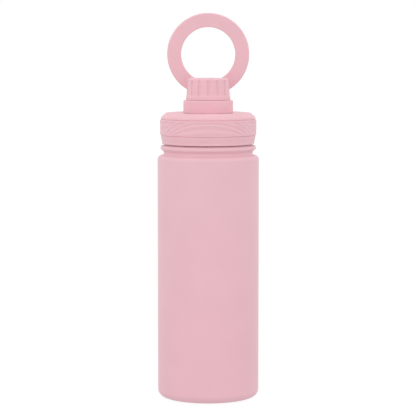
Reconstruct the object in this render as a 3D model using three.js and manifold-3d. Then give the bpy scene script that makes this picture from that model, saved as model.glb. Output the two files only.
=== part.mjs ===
// Insulated shaker bottle: double-walled steel bottle, screw lid with a chug spout,
// spout cap, swivelling collar, ring handle on a hinge, and a clip-in mixing grid.
// Millimetres, +Z up. The origin is the centre of the foot, and the front faces -Y.

import * as THREE from 'three';
import { mergeVertices } from 'three/addons/utils/BufferGeometryUtils.js';
import Module from 'manifold-3d';

const wasm = await Module();
wasm.setup();

// ---------- driving dimensions ----------

const GAP = 0.3; // air between neighbouring pieces
const ROUND = 36; // sides of the large round pieces
const FINE_ROUND = 24; // sides of the small round pieces
const PIN_ROUND = 16; // sides of the hinge pin and its holes

const BODY_R = 36.5;
const SHELL_WALL = 0.6;
const FOOT_Z = 0.3; // the shell stands clear of the ground, on the pad
const FOOT_CORNER_R = 5.5;
const SHOULDER_Z = 175.3;
const SHOULDER_CORNER_R = 3.0;
const NECK_GROOVE_R = 32.0;
const NECK_BEAD_R = 34.3;
const NECK_BEAD_Z = 181.0;
const NECK_BEAD_TOP_Z = 182.5; // the rim stands a little above its bead
const RIM_Z = 183.0;
const RIM_OUTER_R = 32.0;

const LINER_WALL = 0.5;
const LINER_R = 33.0; // inside radius of the flask
const LINER_FLOOR_Z = 8.0;
const LINER_CORNER_R = 8.0;
const MOUTH_R = 29.6;

const BASE_PLATE_R = 28.1;
const BASE_PLATE_Z = 2.6;
const PAD_R = 27.9;

const LID_SIDE_R = 34.7;
const LID_SKIRT_R = 33.15;
const LID_BOTTOM_Z = 183.5;
const LID_STEP_Z = 190.2;
const LID_SIDE_TOP_Z = 200.5;
const LID_TOP_Z = 205.9;
const LID_INNER_R = 32.6;

const PLUG_R = 28.1;
const PLUG_WALL = 1.8;
const PLUG_BOTTOM_Z = 171.0;
const SPOUT_BORE_R = 9.0;
const SPOUT_R = 10.7;
const SPOUT_BASE_R = 12.6;
const SPOUT_LIP_Z = 225.7;

const LID_THREAD = { starts: 3, lead: 12, height: 1.1, rootWidth: 1.7, crestWidth: 0.9 };
const SPOUT_THREAD = { starts: 2, lead: 6, height: 0.8, rootWidth: 1.3, crestWidth: 0.6 };

const BOSS_R = 16.0;
const BOSS_TOP_Z = 212.6;
const COLLAR_R = 17.9;
const COLLAR_TOP_Z = 214.6;

const CAP_R = 16.0;
const CAP_BOTTOM_Z = 214.9;
const CAP_TOP_Z = 230.6;
const CAP_TOP_R = 14.75;
const CAP_FLUTES = 14;

const RING_R = 29.8;
const RING_HOLE_R = 19.6;
const RING_CENTRE_Z = 247.4;
const RING_FRONT_Y = 17.0;
const RING_DEPTH = 7.0;
const RING_WALL = 1.6;
const RING_MAGNETS = 16;

const HINGE_Y = 21.4;
const HINGE_Z = 211.0;
const HINGE_KNUCKLE_R = 3.0;
const HINGE_PIN_R = 1.5;
const TONGUE_HALF_WIDTH = 7.0;
const EAR_INNER_X = 8.2;
const EAR_OUTER_X = 12.6;

const GRID_R = 27.6;
const GRID_TOP_Z = PLUG_BOTTOM_Z - 0.4;
const GRID_THICKNESS = 1.6;

// ---------- looks ----------

const PINK_COAT = { color: 0xe5b6c1, roughness: 0.62, metalness: 0.0 };
const PINK_PLASTIC = { color: 0xe8b5bf, roughness: 0.5, metalness: 0.0 };
const STEEL = { color: 0xb9bcc0, roughness: 0.35, metalness: 1.0 };
const SILICONE = { color: 0xe9c3cb, roughness: 0.75, metalness: 0.0 };
const CLEAR_SILICONE = { color: 0xeeeeea, roughness: 0.6, metalness: 0.0 };
const FOAM = { color: 0xf2efe6, roughness: 0.95, metalness: 0.0 };
const MAGNET = { color: 0x8f9296, roughness: 0.3, metalness: 1.0 };
const GETTER = { color: 0x6f6d6a, roughness: 0.8, metalness: 0.3 };

// ---------- geometry helpers ----------

// Points of a circular arc in a profile, from one angle to another, in degrees.
function arc(centreR, centreZ, radius, fromDeg, toDeg, steps) {
  const points = [];
  for (let i = 0; i <= steps; i += 1) {
    const angle = THREE.MathUtils.degToRad(fromDeg + ((toDeg - fromDeg) * i) / steps);
    points.push([centreR + radius * Math.cos(angle), centreZ + radius * Math.sin(angle)]);
  }
  return points;
}

// Revolves a profile of [radius, height] points about Z. The profile runs with its material
// on the left. One that starts off the axis is a ring, so it closes on itself.
function revolve(profile, sides = ROUND) {
  const isRing = profile[0][0] > 0;
  const outline = isRing ? [...profile, profile[0]] : profile;
  const points = outline.map(([r, z]) => new THREE.Vector2(r, z));
  return new THREE.LatheGeometry(points, sides).rotateX(Math.PI / 2);
}

// A plain ring or tube.
function tube(innerR, outerR, bottomZ, topZ, sides = ROUND) {
  return revolve([[innerR, bottomZ], [outerR, bottomZ], [outerR, topZ], [innerR, topZ]], sides);
}

// A cylinder along X, centred at a height and depth.
function crossBar(radius, fromX, toX, y, z, sides = FINE_ROUND) {
  const bar = new THREE.CylinderGeometry(radius, radius, toX - fromX, sides);
  return bar.rotateZ(-Math.PI / 2).translate((fromX + toX) / 2, y, z);
}

// A box given by its lowest and highest corners.
function block(low, high) {
  const size = high.map((value, axis) => value - low[axis]);
  const box = new THREE.BoxGeometry(size[0], size[1], size[2]);
  return box.translate(...low.map((value, axis) => value + size[axis] / 2));
}

function toSolid(geometry) {
  const bare = new THREE.BufferGeometry();
  bare.setAttribute('position', geometry.getAttribute('position'));
  bare.setIndex(geometry.getIndex());
  const merged = mergeVertices(bare, 1e-4);
  const corners = merged.getIndex().array;
  const triangles = [];
  for (let i = 0; i < corners.length; i += 3) {
    const [a, b, c] = corners.slice(i, i + 3);
    if (a !== b && b !== c && c !== a) triangles.push(a, b, c);
  }
  return new wasm.Manifold(new wasm.Mesh({
    numProp: 3,
    vertProperties: new Float32Array(merged.getAttribute('position').array),
    triVerts: new Uint32Array(triangles),
  }));
}

function toGeometry(solid) {
  const mesh = solid.getMesh();
  const geometry = new THREE.BufferGeometry();
  geometry.setAttribute('position', new THREE.BufferAttribute(mesh.vertProperties, 3));
  geometry.setIndex(new THREE.BufferAttribute(mesh.triVerts, 1));
  return geometry;
}

// Joins the added geometries, then cuts the removed ones away.
function combine(added, removed = []) {
  let solid = toSolid(added[0]);
  for (const piece of added.slice(1)) solid = solid.add(toSolid(piece));
  for (const piece of removed) solid = solid.subtract(toSolid(piece));
  return toGeometry(solid);
}

// The ridges of a right-hand screw thread, one for each start. Each is a straight bar of
// tapered section, wrapped around Z. It fades into the wall at both ends.
function threadRidges(thread, wallR, direction, bottomZ, sweepDeg) {
  const embed = 0.35;
  const fadeDeg = 24;
  const steps = Math.round((sweepDeg * ROUND) / 360);
  const sweep = THREE.MathUtils.degToRad(sweepDeg);
  const fade = THREE.MathUtils.degToRad(fadeDeg);
  const section = new THREE.Shape([
    new THREE.Vector2(-embed, -thread.rootWidth / 2),
    new THREE.Vector2(thread.height, -thread.crestWidth / 2),
    new THREE.Vector2(thread.height, thread.crestWidth / 2),
    new THREE.Vector2(-embed, thread.rootWidth / 2),
  ]);
  const ridges = [];
  for (let start = 0; start < thread.starts; start += 1) {
    const bar = new THREE.ExtrudeGeometry(section, { depth: 1, steps, bevelEnabled: false });
    const position = bar.getAttribute('position');
    for (let i = 0; i < position.count; i += 1) {
      const along = direction > 0 ? 1 - position.getZ(i) : position.getZ(i);
      const turned = along * sweep;
      const toEnd = Math.min(turned, sweep - turned);
      const rise = Math.min(1, 0.15 + toEnd / fade);
      const out = position.getX(i) > 0 ? position.getX(i) * rise : position.getX(i);
      const radius = wallR + direction * out;
      const angle = turned + (start * 2 * Math.PI) / thread.starts;
      const z = bottomZ + (thread.lead * turned) / (2 * Math.PI) + position.getY(i);
      position.setXYZ(i, radius * Math.cos(angle), radius * Math.sin(angle), z);
    }
    ridges.push(bar);
  }
  return ridges;
}

function piece(name, geometry, look) {
  const mesh = new THREE.Mesh(geometry, new THREE.MeshStandardMaterial(look));
  mesh.name = name;
  return mesh;
}

// ---------- bottle ----------

const LINER_THREAD_Z = 174.9; // height of the mouth thread's lower ends
const LINER_THREAD_SWEEP = 180;

function outerShell() {
  const cornerR = BODY_R - FOOT_CORNER_R;
  const cornerZ = FOOT_Z + FOOT_CORNER_R;
  const shoulderR = BODY_R - SHOULDER_CORNER_R;
  const shoulderZ = SHOULDER_Z - SHOULDER_CORNER_R;
  const returnR = BASE_PLATE_R + GAP;
  const rimInnerR = MOUTH_R + LINER_WALL + GAP;
  const outside = [
    [returnR, BASE_PLATE_Z],
    [returnR, FOOT_Z + 0.8],
    [returnR + 0.8, FOOT_Z],
    ...arc(cornerR, cornerZ, FOOT_CORNER_R, -90, 0, 4),
    ...arc(shoulderR, shoulderZ, SHOULDER_CORNER_R, 0, 90, 2),
    [NECK_GROOVE_R + 0.5, SHOULDER_Z + 0.4],
    [NECK_GROOVE_R, SHOULDER_Z + 1.4],
    [NECK_GROOVE_R, SHOULDER_Z + 2.4],
    [NECK_GROOVE_R + 1.1, SHOULDER_Z + 3.5],
    [NECK_BEAD_R - 0.2, NECK_BEAD_Z - 0.8],
    [NECK_BEAD_R, NECK_BEAD_Z],
    [NECK_BEAD_R - 0.4, NECK_BEAD_TOP_Z - 0.6],
    [NECK_BEAD_R - 1.3, NECK_BEAD_TOP_Z],
    [RIM_OUTER_R + 0.2, NECK_BEAD_TOP_Z],
    [RIM_OUTER_R, RIM_Z],
    [rimInnerR, RIM_Z],
  ];
  const inside = [
    [rimInnerR, RIM_Z - SHELL_WALL],
    [RIM_OUTER_R - 0.8, RIM_Z - SHELL_WALL],
    [RIM_OUTER_R - 0.4, NECK_BEAD_TOP_Z - SHELL_WALL],
    [NECK_BEAD_R - 1.5, NECK_BEAD_TOP_Z - SHELL_WALL],
    [NECK_BEAD_R - SHELL_WALL, NECK_BEAD_Z],
    [NECK_GROOVE_R - SHELL_WALL, SHOULDER_Z + 2.6],
    [NECK_GROOVE_R - SHELL_WALL, SHOULDER_Z + 1.2],
    [NECK_GROOVE_R, SHOULDER_Z - SHELL_WALL],
    ...arc(shoulderR, shoulderZ, SHOULDER_CORNER_R - SHELL_WALL, 90, 0, 1),
    ...arc(cornerR, cornerZ, FOOT_CORNER_R - SHELL_WALL, 0, -90, 3),
    [returnR + SHELL_WALL, FOOT_Z + 1.0],
    [returnR + SHELL_WALL, BASE_PLATE_Z],
  ];
  return revolve([...outside, ...inside]);
}

function innerLiner() {
  const wall = LINER_WALL;
  const cornerR = LINER_R - LINER_CORNER_R;
  const cornerZ = LINER_FLOOR_Z + LINER_CORNER_R;
  const taperBottomZ = 165.0;
  const taperTopZ = 171.6;
  const flask = revolve([
    [0, LINER_FLOOR_Z - wall],
    ...arc(cornerR, cornerZ, LINER_CORNER_R + wall, -90, 0, 3),
    [LINER_R + wall, taperBottomZ],
    [MOUTH_R + wall, taperTopZ],
    [MOUTH_R + wall, RIM_Z],
    [MOUTH_R, RIM_Z],
    [MOUTH_R, taperTopZ],
    [LINER_R, taperBottomZ],
    ...arc(cornerR, cornerZ, LINER_CORNER_R, 0, -90, 3),
    [0, LINER_FLOOR_Z],
  ]);
  return combine([flask, ...threadRidges(LID_THREAD, MOUTH_R, -1, LINER_THREAD_Z, LINER_THREAD_SWEEP)]);
}

const PLUG_HOLE_R = 1.6;

function basePlate() {
  return tube(PLUG_HOLE_R, BASE_PLATE_R, BASE_PLATE_Z, BASE_PLATE_Z + SHELL_WALL);
}

function vacuumPlug() {
  const stemR = PLUG_HOLE_R - GAP;
  const headTopZ = BASE_PLATE_Z - GAP;
  return revolve([
    [0, headTopZ - 0.8],
    [2.4, headTopZ - 0.8],
    [3.2, headTopZ],
    [stemR, headTopZ],
    [stemR, BASE_PLATE_Z + SHELL_WALL + 0.4],
    [0, BASE_PLATE_Z + SHELL_WALL + 0.4],
  ], FINE_ROUND);
}

function getter() {
  const radius = 4.5;
  const thickness = 1.5;
  const offCentre = 12;
  const topZ = LINER_FLOOR_Z - LINER_WALL - GAP;
  const disc = new THREE.CylinderGeometry(radius, radius, thickness, FINE_ROUND);
  return disc.rotateX(Math.PI / 2).translate(offCentre, 0, topZ - thickness / 2);
}

// The pad carries the bottle. A pocket in its top clears the vacuum plug.
function basePad() {
  const topZ = BASE_PLATE_Z - GAP;
  const pocketR = 4.2;
  const pocketZ = 1.0;
  return revolve([
    [0, 0],
    [PAD_R - 0.8, 0],
    [PAD_R, 0.8],
    [PAD_R, topZ],
    [pocketR, topZ],
    [pocketR, pocketZ],
    [0, pocketZ],
  ]);
}

// ---------- lid ----------

const FLANGE_R = 31.2;
const FLANGE_Z = 185.5;
const FLANGE_TOP_Z = 187.3;
const CONE_OUTER_R = 27.0; // where the funnel's outside meets the flange
const CONE_TOP_Z = 195.2; // where the funnel's outside meets the spout
const CONE_WALL_Z = 2.3; // the funnel's wall, measured upwards
const LID_PLATE_Z = LID_TOP_Z - 2.0;
const BOSS_GROOVE_Z = 207.9;
const BOSS_GROOVE_TOP_Z = 209.7;
const BOSS_GROOVE_R = BOSS_R - 0.8;
const INNER_CHAMFER_Z = 201.2;
const INNER_CHAMFER_R = LID_INNER_R - (LID_PLATE_Z - INNER_CHAMFER_Z);

function lidCover() {
  const skirtInnerR = FLANGE_R + GAP;
  const bossInnerR = SPOUT_BASE_R + GAP;
  return revolve([
    [skirtInnerR, LID_BOTTOM_Z],
    [LID_SKIRT_R - 0.2, LID_BOTTOM_Z],
    [LID_SKIRT_R, LID_BOTTOM_Z + 0.3],
    [LID_SKIRT_R, LID_BOTTOM_Z + 2.3],
    [LID_SKIRT_R + 0.6, LID_BOTTOM_Z + 3.7],
    [LID_SKIRT_R + 0.85, LID_BOTTOM_Z + 5.0],
    [LID_SKIRT_R + 0.9, LID_STEP_Z],
    [LID_SIDE_R, LID_STEP_Z + 0.2],
    [LID_SIDE_R, LID_SIDE_TOP_Z],
    [LID_SIDE_R - 0.7, LID_SIDE_TOP_Z + 0.8],
    [LID_SIDE_R - 0.7, LID_SIDE_TOP_Z + 1.7],
    [LID_SIDE_R - 1.2, LID_SIDE_TOP_Z + 2.6],
    [LID_SIDE_R - 3.5, LID_TOP_Z - 0.6],
    [LID_SIDE_R - 4.4, LID_TOP_Z],
    [BOSS_R, LID_TOP_Z],
    [BOSS_R, BOSS_GROOVE_Z],
    [BOSS_GROOVE_R, BOSS_GROOVE_Z],
    [BOSS_GROOVE_R, BOSS_GROOVE_TOP_Z],
    [BOSS_R, BOSS_GROOVE_TOP_Z],
    [BOSS_R, BOSS_TOP_Z - 0.4],
    [BOSS_R - 0.4, BOSS_TOP_Z],
    [bossInnerR, BOSS_TOP_Z],
    [bossInnerR, LID_PLATE_Z],
    [INNER_CHAMFER_R, LID_PLATE_Z],
    [LID_INNER_R, INNER_CHAMFER_Z],
    [LID_INNER_R, FLANGE_TOP_Z + 2 * GAP],
    [skirtInnerR, FLANGE_TOP_Z + GAP],
  ]);
}

const LID_THREAD_Z = LINER_THREAD_Z - 1.6; // the lid's ridges hang just under the mouth's
const SPOUT_THREAD_Z = 216.6;
const SPOUT_THREAD_SWEEP = 300;

// One moulding: threaded plug, flange, funnel and spout.
function lidCore() {
  const plugInnerR = PLUG_R - PLUG_WALL;
  const slope = (CONE_TOP_Z - FLANGE_TOP_Z) / (CONE_OUTER_R - SPOUT_BASE_R);
  const innerConeZ = (radius) => FLANGE_TOP_Z - CONE_WALL_Z + slope * (CONE_OUTER_R - radius);
  const body = revolve([
    [plugInnerR, PLUG_BOTTOM_Z],
    [PLUG_R, PLUG_BOTTOM_Z],
    [PLUG_R, FLANGE_Z],
    [FLANGE_R, FLANGE_Z],
    [FLANGE_R, FLANGE_TOP_Z],
    [CONE_OUTER_R, FLANGE_TOP_Z],
    [SPOUT_BASE_R, CONE_TOP_Z],
    [SPOUT_BASE_R, BOSS_TOP_Z + 0.6],
    [SPOUT_R, BOSS_TOP_Z + 1.2],
    [SPOUT_R, SPOUT_LIP_Z - 0.5],
    [SPOUT_R - 0.5, SPOUT_LIP_Z],
    [SPOUT_BORE_R + 0.4, SPOUT_LIP_Z],
    [SPOUT_BORE_R, SPOUT_LIP_Z - 0.5],
    [SPOUT_BORE_R, innerConeZ(SPOUT_BORE_R)],
    [plugInnerR, innerConeZ(plugInnerR)],
  ]);
  return combine([
    body,
    ...threadRidges(LID_THREAD, PLUG_R, 1, LID_THREAD_Z, LINER_THREAD_SWEEP),
    ...threadRidges(SPOUT_THREAD, SPOUT_R, 1, SPOUT_THREAD_Z, SPOUT_THREAD_SWEEP),
  ]);
}

function lidGasket() {
  const innerR = PLUG_R + 0.5;
  const outerR = FLANGE_R;
  const bottomZ = RIM_Z + GAP;
  const topZ = FLANGE_Z - GAP;
  return revolve([
    [innerR, bottomZ + 0.4],
    [innerR + 0.8, bottomZ],
    [outerR - 0.4, bottomZ],
    [outerR, bottomZ + 0.4],
    [outerR, topZ],
    [innerR, topZ],
  ]);
}

// Foam ring that fills the space between the core and the cover.
function lidInsulation() {
  const outerR = LID_INNER_R - GAP;
  const innerR = SPOUT_BASE_R + GAP;
  const bottomZ = FLANGE_TOP_Z + 3 * GAP;
  const topZ = LID_PLATE_Z - GAP;
  return revolve([
    [CONE_OUTER_R, bottomZ],
    [outerR, bottomZ],
    [outerR, INNER_CHAMFER_Z],
    [INNER_CHAMFER_R, topZ],
    [innerR, topZ],
    [innerR, CONE_TOP_Z + 3 * GAP],
  ]);
}

// ---------- mixing grid ----------

// A six-sided hole outline around a centre.
function hexagonHole(centreX, centreY, radius) {
  const hole = new THREE.Path();
  for (let corner = 0; corner < 6; corner += 1) {
    const angle = (corner * Math.PI) / 3;
    const x = centreX + radius * Math.cos(angle);
    const y = centreY + radius * Math.sin(angle);
    if (corner === 0) hole.moveTo(x, y);
    else hole.lineTo(x, y);
  }
  hole.closePath();
  return hole;
}

// A round plate with a honeycomb of holes, and a rim that clips inside the plug.
function mixingGrid() {
  const rimR = PLUG_R - PLUG_WALL - GAP;
  const rimWall = 1.2;
  const rimHeight = 3.4;
  const holeR = 4.1;
  const spacing = 8.6;
  const outline = new THREE.Shape();
  outline.absarc(0, 0, GRID_R, 0, 2 * Math.PI);
  const rows = 3;
  for (let row = -rows; row <= rows; row += 1) {
    for (let column = -rows; column <= rows; column += 1) {
      const x = spacing * (Math.sqrt(3) / 2) * column;
      const y = spacing * (row + column / 2);
      const isInside = Math.hypot(x, y) + holeR < rimR - rimWall;
      if (isInside) outline.holes.push(hexagonHole(x, y, holeR));
    }
  }
  const plate = new THREE.ExtrudeGeometry(outline, {
    depth: GRID_THICKNESS,
    bevelEnabled: false,
    curveSegments: ROUND / 2,
  });
  plate.translate(0, 0, GRID_TOP_Z - GRID_THICKNESS);
  const rim = tube(rimR - rimWall, rimR, GRID_TOP_Z - GRID_THICKNESS / 2, GRID_TOP_Z + rimHeight);
  return combine([plate, rim]);
}

// ---------- spout cap ----------

const CAP_SIDES = 3 * CAP_FLUTES;
const CAP_WALL_TOP_Z = CAP_TOP_Z - 1.4;
const CAP_CAVITY_R = 13.3;
const CAP_BAND_Z = 217.4; // top of the smooth band under the flutes
const CAP_FILLET_R = 2.0;
const INSERT_R = CAP_CAVITY_R - GAP;
const INSERT_BORE_R = 11.8;
const INSERT_TOP_Z = CAP_WALL_TOP_Z - GAP;
const INSERT_ROOF_Z = INSERT_TOP_Z - 1.2;

// Round-ended cutters that lean inwards with the cap's draft.
function fluteCutters() {
  const radius = 1.2;
  const standOff = 0.55;
  const bottomR = CAP_R - 0.45;
  const bottomZ = CAP_BAND_Z + radius;
  const lean = Math.atan((bottomR - CAP_TOP_R) / (CAP_TOP_Z - CAP_FILLET_R - bottomZ));
  const length = CAP_TOP_Z - bottomZ + 1;
  const cutters = [];
  for (let i = 0; i < CAP_FLUTES; i += 1) {
    const cutter = new THREE.CapsuleGeometry(radius, length, 2, 8);
    cutter.rotateX(Math.PI / 2).translate(0, 0, length / 2);
    cutter.rotateY(-lean).translate(bottomR + standOff, 0, bottomZ);
    cutter.rotateZ(-Math.PI / 2 + (i * 2 * Math.PI) / CAP_FLUTES);
    cutters.push(cutter);
  }
  return cutters;
}

function capShell() {
  const filletZ = CAP_TOP_Z - CAP_FILLET_R;
  const body = revolve([
    [0, CAP_WALL_TOP_Z],
    [CAP_CAVITY_R, CAP_WALL_TOP_Z],
    [CAP_CAVITY_R, CAP_BOTTOM_Z],
    [CAP_R - 0.3, CAP_BOTTOM_Z],
    [CAP_R, CAP_BOTTOM_Z + 0.3],
    [CAP_R - 0.05, CAP_BAND_Z],
    [CAP_R - 0.45, CAP_BAND_Z + 1.6],
    ...arc(CAP_TOP_R - CAP_FILLET_R, filletZ, CAP_FILLET_R, 0, 90, 3),
    [0, CAP_TOP_Z],
  ], CAP_SIDES);
  return combine([body], fluteCutters());
}

function capInsert() {
  const insertThreadZ = SPOUT_THREAD_Z + 1.2;
  const body = revolve([
    [0, INSERT_ROOF_Z],
    [INSERT_BORE_R, INSERT_ROOF_Z],
    [INSERT_BORE_R, CAP_BOTTOM_Z + GAP],
    [INSERT_R, CAP_BOTTOM_Z + GAP],
    [INSERT_R, INSERT_TOP_Z],
    [0, INSERT_TOP_Z],
  ]);
  const ridges = threadRidges(SPOUT_THREAD, INSERT_BORE_R, -1, insertThreadZ, SPOUT_THREAD_SWEEP);
  return combine([body, ...ridges]);
}

function capSeal() {
  const bottomZ = SPOUT_LIP_Z + GAP;
  const topZ = INSERT_ROOF_Z - GAP;
  const radius = INSERT_BORE_R - GAP - 0.1;
  return revolve([[0, bottomZ], [radius, bottomZ], [radius, topZ], [0, topZ]], FINE_ROUND);
}

// ---------- swivel collar and hinge ----------

const COLLAR_BORE_R = BOSS_R + GAP;

// Ring that turns on the lid's boss. Its inner lip snaps into the boss's groove,
// and two ears behind it hold the hinge pin.
function swivelCollar() {
  const lipR = BOSS_GROOVE_R + GAP;
  const lipZ = BOSS_GROOVE_Z + GAP;
  const lipTopZ = BOSS_GROOVE_TOP_Z - GAP;
  const band = revolve([
    [COLLAR_BORE_R, LID_TOP_Z + GAP],
    [COLLAR_R - 0.3, LID_TOP_Z + GAP],
    [COLLAR_R, LID_TOP_Z + 2 * GAP],
    [COLLAR_R, COLLAR_TOP_Z - 0.4],
    [COLLAR_R - 0.4, COLLAR_TOP_Z],
    [SPOUT_BASE_R + 0.6, COLLAR_TOP_Z],
    [SPOUT_BASE_R + 0.6, BOSS_TOP_Z + GAP],
    [COLLAR_BORE_R, BOSS_TOP_Z + GAP],
    [COLLAR_BORE_R, lipTopZ + 0.3],
    [lipR, lipTopZ],
    [lipR, lipZ],
    [COLLAR_BORE_R, lipZ],
  ]);
  const clearR = COLLAR_BORE_R + 0.1;
  const clearBore = new THREE.CylinderGeometry(clearR, clearR, 2 * BOSS_R, ROUND);
  clearBore.rotateX(Math.PI / 2).translate(0, 0, HINGE_Z);
  const earRootY = 11;
  const ears = [-1, 1].map((side) => {
    const x = [side * EAR_INNER_X, side * EAR_OUTER_X].sort((a, b) => a - b);
    const low = [x[0], earRootY, HINGE_Z - HINGE_KNUCKLE_R];
    const high = [x[1], HINGE_Y, HINGE_Z + HINGE_KNUCKLE_R];
    const round = crossBar(HINGE_KNUCKLE_R, x[0], x[1], HINGE_Y, HINGE_Z);
    const hole = crossBar(HINGE_PIN_R + GAP, x[0] - 1, x[1] + 1, HINGE_Y, HINGE_Z, PIN_ROUND);
    return combine([block(low, high), round], [hole, clearBore]);
  });
  return combine([band, ...ears]);
}

function hingePin() {
  return crossBar(HINGE_PIN_R, -EAR_OUTER_X + 0.2, EAR_OUTER_X - 0.2, HINGE_Y, HINGE_Z, PIN_ROUND);
}

function hingeWasher(side) {
  const inner = TONGUE_HALF_WIDTH + GAP;
  const outer = EAR_INNER_X - GAP;
  const from = Math.min(side * inner, side * outer);
  const to = Math.max(side * inner, side * outer);
  const disc = crossBar(HINGE_KNUCKLE_R - 0.1, from, to, HINGE_Y, HINGE_Z, PIN_ROUND);
  const hole = crossBar(HINGE_PIN_R + GAP, from - 1, to + 1, HINGE_Y, HINGE_Z, PIN_ROUND);
  return combine([disc], [hole]);
}

// ---------- ring handle ----------
// The ring's pieces are made flat about Z, with the front face at height 0, and the ring
// group stands them up: local Z then points backwards and local Y points down.

const RING_PARTING = RING_DEPTH - 1.9; // depth where the front shell ends
const CHANNEL_INNER_R = RING_HOLE_R + RING_WALL;
const CHANNEL_OUTER_R = RING_R - RING_WALL;
const RING_EDGE = 1.3; // width of the eased edges

function ringFrontShell() {
  const channel = revolve([
    [RING_HOLE_R + RING_EDGE, 0],
    [RING_R - RING_EDGE, 0],
    [RING_R - 0.4, 0.4],
    [RING_R, RING_EDGE],
    [RING_R, RING_PARTING],
    [CHANNEL_OUTER_R, RING_PARTING],
    [CHANNEL_OUTER_R, RING_WALL],
    [CHANNEL_INNER_R, RING_WALL],
    [CHANNEL_INNER_R, RING_PARTING],
    [RING_HOLE_R, RING_PARTING],
    [RING_HOLE_R, RING_EDGE],
    [RING_HOLE_R + 0.4, 0.4],
  ]);
  const axisY = RING_CENTRE_Z - HINGE_Z;
  const axisDepth = HINGE_Y - RING_FRONT_Y;
  const halfWidth = TONGUE_HALF_WIDTH;
  const tongue = block([-halfWidth, CHANNEL_OUTER_R + 0.3, RING_WALL], [halfWidth, axisY, RING_PARTING]);
  const knuckle = crossBar(HINGE_KNUCKLE_R, -halfWidth, halfWidth, axisY, axisDepth);
  const hole = crossBar(HINGE_PIN_R + GAP, -halfWidth - 1, halfWidth + 1, axisY, axisDepth, PIN_ROUND);
  return combine([channel, tongue, knuckle], [hole]);
}

const PAD_RECESS = 0.9;
const PAD_INNER_R = CHANNEL_INNER_R + 0.4;
const PAD_OUTER_R = CHANNEL_OUTER_R - 0.4;

function ringBackCover() {
  const front = RING_PARTING + GAP;
  const back = RING_DEPTH;
  return revolve([
    [RING_HOLE_R, front],
    [RING_R, front],
    [RING_R, back - 1.0],
    [RING_R - 1.0, back],
    [PAD_OUTER_R + GAP, back],
    [PAD_OUTER_R + GAP, back - PAD_RECESS],
    [PAD_INNER_R - GAP, back - PAD_RECESS],
    [PAD_INNER_R - GAP, back],
    [RING_HOLE_R + 1.0, back],
    [RING_HOLE_R, back - 1.0],
  ]);
}

function ringGripPad() {
  return tube(PAD_INNER_R, PAD_OUTER_R, RING_DEPTH - PAD_RECESS + GAP, RING_DEPTH + 0.2);
}

const BACKING_FRONT = RING_WALL + GAP;
const BACKING_THICKNESS = 0.7;

function ringBackingPlate() {
  const back = BACKING_FRONT + BACKING_THICKNESS;
  return tube(CHANNEL_INNER_R + 0.4, CHANNEL_OUTER_R - 0.4, BACKING_FRONT, back);
}

function ringMagnet() {
  const pitch = (2 * Math.PI) / RING_MAGNETS;
  const halfAngle = pitch / 2 - 0.02;
  const outline = new THREE.Shape();
  outline.absarc(0, 0, CHANNEL_OUTER_R - 0.8, -halfAngle, halfAngle, false);
  outline.absarc(0, 0, CHANNEL_INNER_R + 0.8, halfAngle, -halfAngle, true);
  outline.closePath();
  const depth = 1.8;
  const magnet = new THREE.ExtrudeGeometry(outline, { depth, bevelEnabled: false, curveSegments: 2 });
  return magnet.translate(0, 0, BACKING_FRONT + BACKING_THICKNESS + GAP);
}

// ---------- assembly ----------

function bottleGroup() {
  const group = new THREE.Group();
  group.add(
    piece('outer_shell', outerShell(), PINK_COAT),
    piece('inner_liner', innerLiner(), STEEL),
    piece('base_plate', basePlate(), STEEL),
    piece('vacuum_plug', vacuumPlug(), GETTER),
    piece('getter', getter(), GETTER),
    piece('base_pad', basePad(), SILICONE),
  );
  return group;
}

function capGroup() {
  const group = new THREE.Group();
  group.add(
    piece('cap_shell', capShell(), PINK_PLASTIC),
    piece('cap_insert', capInsert(), PINK_PLASTIC),
    piece('cap_seal', capSeal(), CLEAR_SILICONE),
  );
  return group;
}

function ringGroup() {
  const group = new THREE.Group();
  group.add(
    piece('ring_front_shell', ringFrontShell(), PINK_PLASTIC),
    piece('ring_back_cover', ringBackCover(), PINK_PLASTIC),
    piece('ring_grip_pad', ringGripPad(), SILICONE),
    piece('ring_backing_plate', ringBackingPlate(), STEEL),
  );
  for (let i = 0; i < RING_MAGNETS; i += 1) {
    const number = String(i + 1).padStart(2, '0');
    const magnet = piece(`ring_magnet_${number}`, ringMagnet(), MAGNET);
    magnet.rotation.z = (i * 2 * Math.PI) / RING_MAGNETS;
    group.add(magnet);
  }
  group.rotation.x = -Math.PI / 2;
  group.position.set(0, RING_FRONT_Y, RING_CENTRE_Z);
  return group;
}

function handleGroup() {
  const group = new THREE.Group();
  group.add(
    piece('swivel_collar', swivelCollar(), PINK_PLASTIC),
    piece('hinge_pin', hingePin(), STEEL),
    piece('hinge_washer_left', hingeWasher(-1), CLEAR_SILICONE),
    piece('hinge_washer_right', hingeWasher(1), CLEAR_SILICONE),
    ringGroup(),
  );
  return group;
}

function lidGroup() {
  const group = new THREE.Group();
  group.add(
    piece('lid_gasket', lidGasket(), CLEAR_SILICONE),
    piece('lid_cover', lidCover(), PINK_PLASTIC),
    piece('lid_core', lidCore(), PINK_PLASTIC),
    piece('lid_insulation', lidInsulation(), FOAM),
    piece('mixing_grid', mixingGrid(), PINK_PLASTIC),
    capGroup(),
    handleGroup(),
  );
  return group;
}

const bottle = new THREE.Group();
bottle.add(bottleGroup(), lidGroup());
export default bottle;
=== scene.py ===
"""Looks of the insulated shaker bottle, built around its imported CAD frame.

Profiles are in millimetres, as (radius, height) about a piece's own axis, and meshes are in metres.
"""

import math

import bmesh
import bpy
import numpy as np
from mathutils import Matrix, Vector


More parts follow.
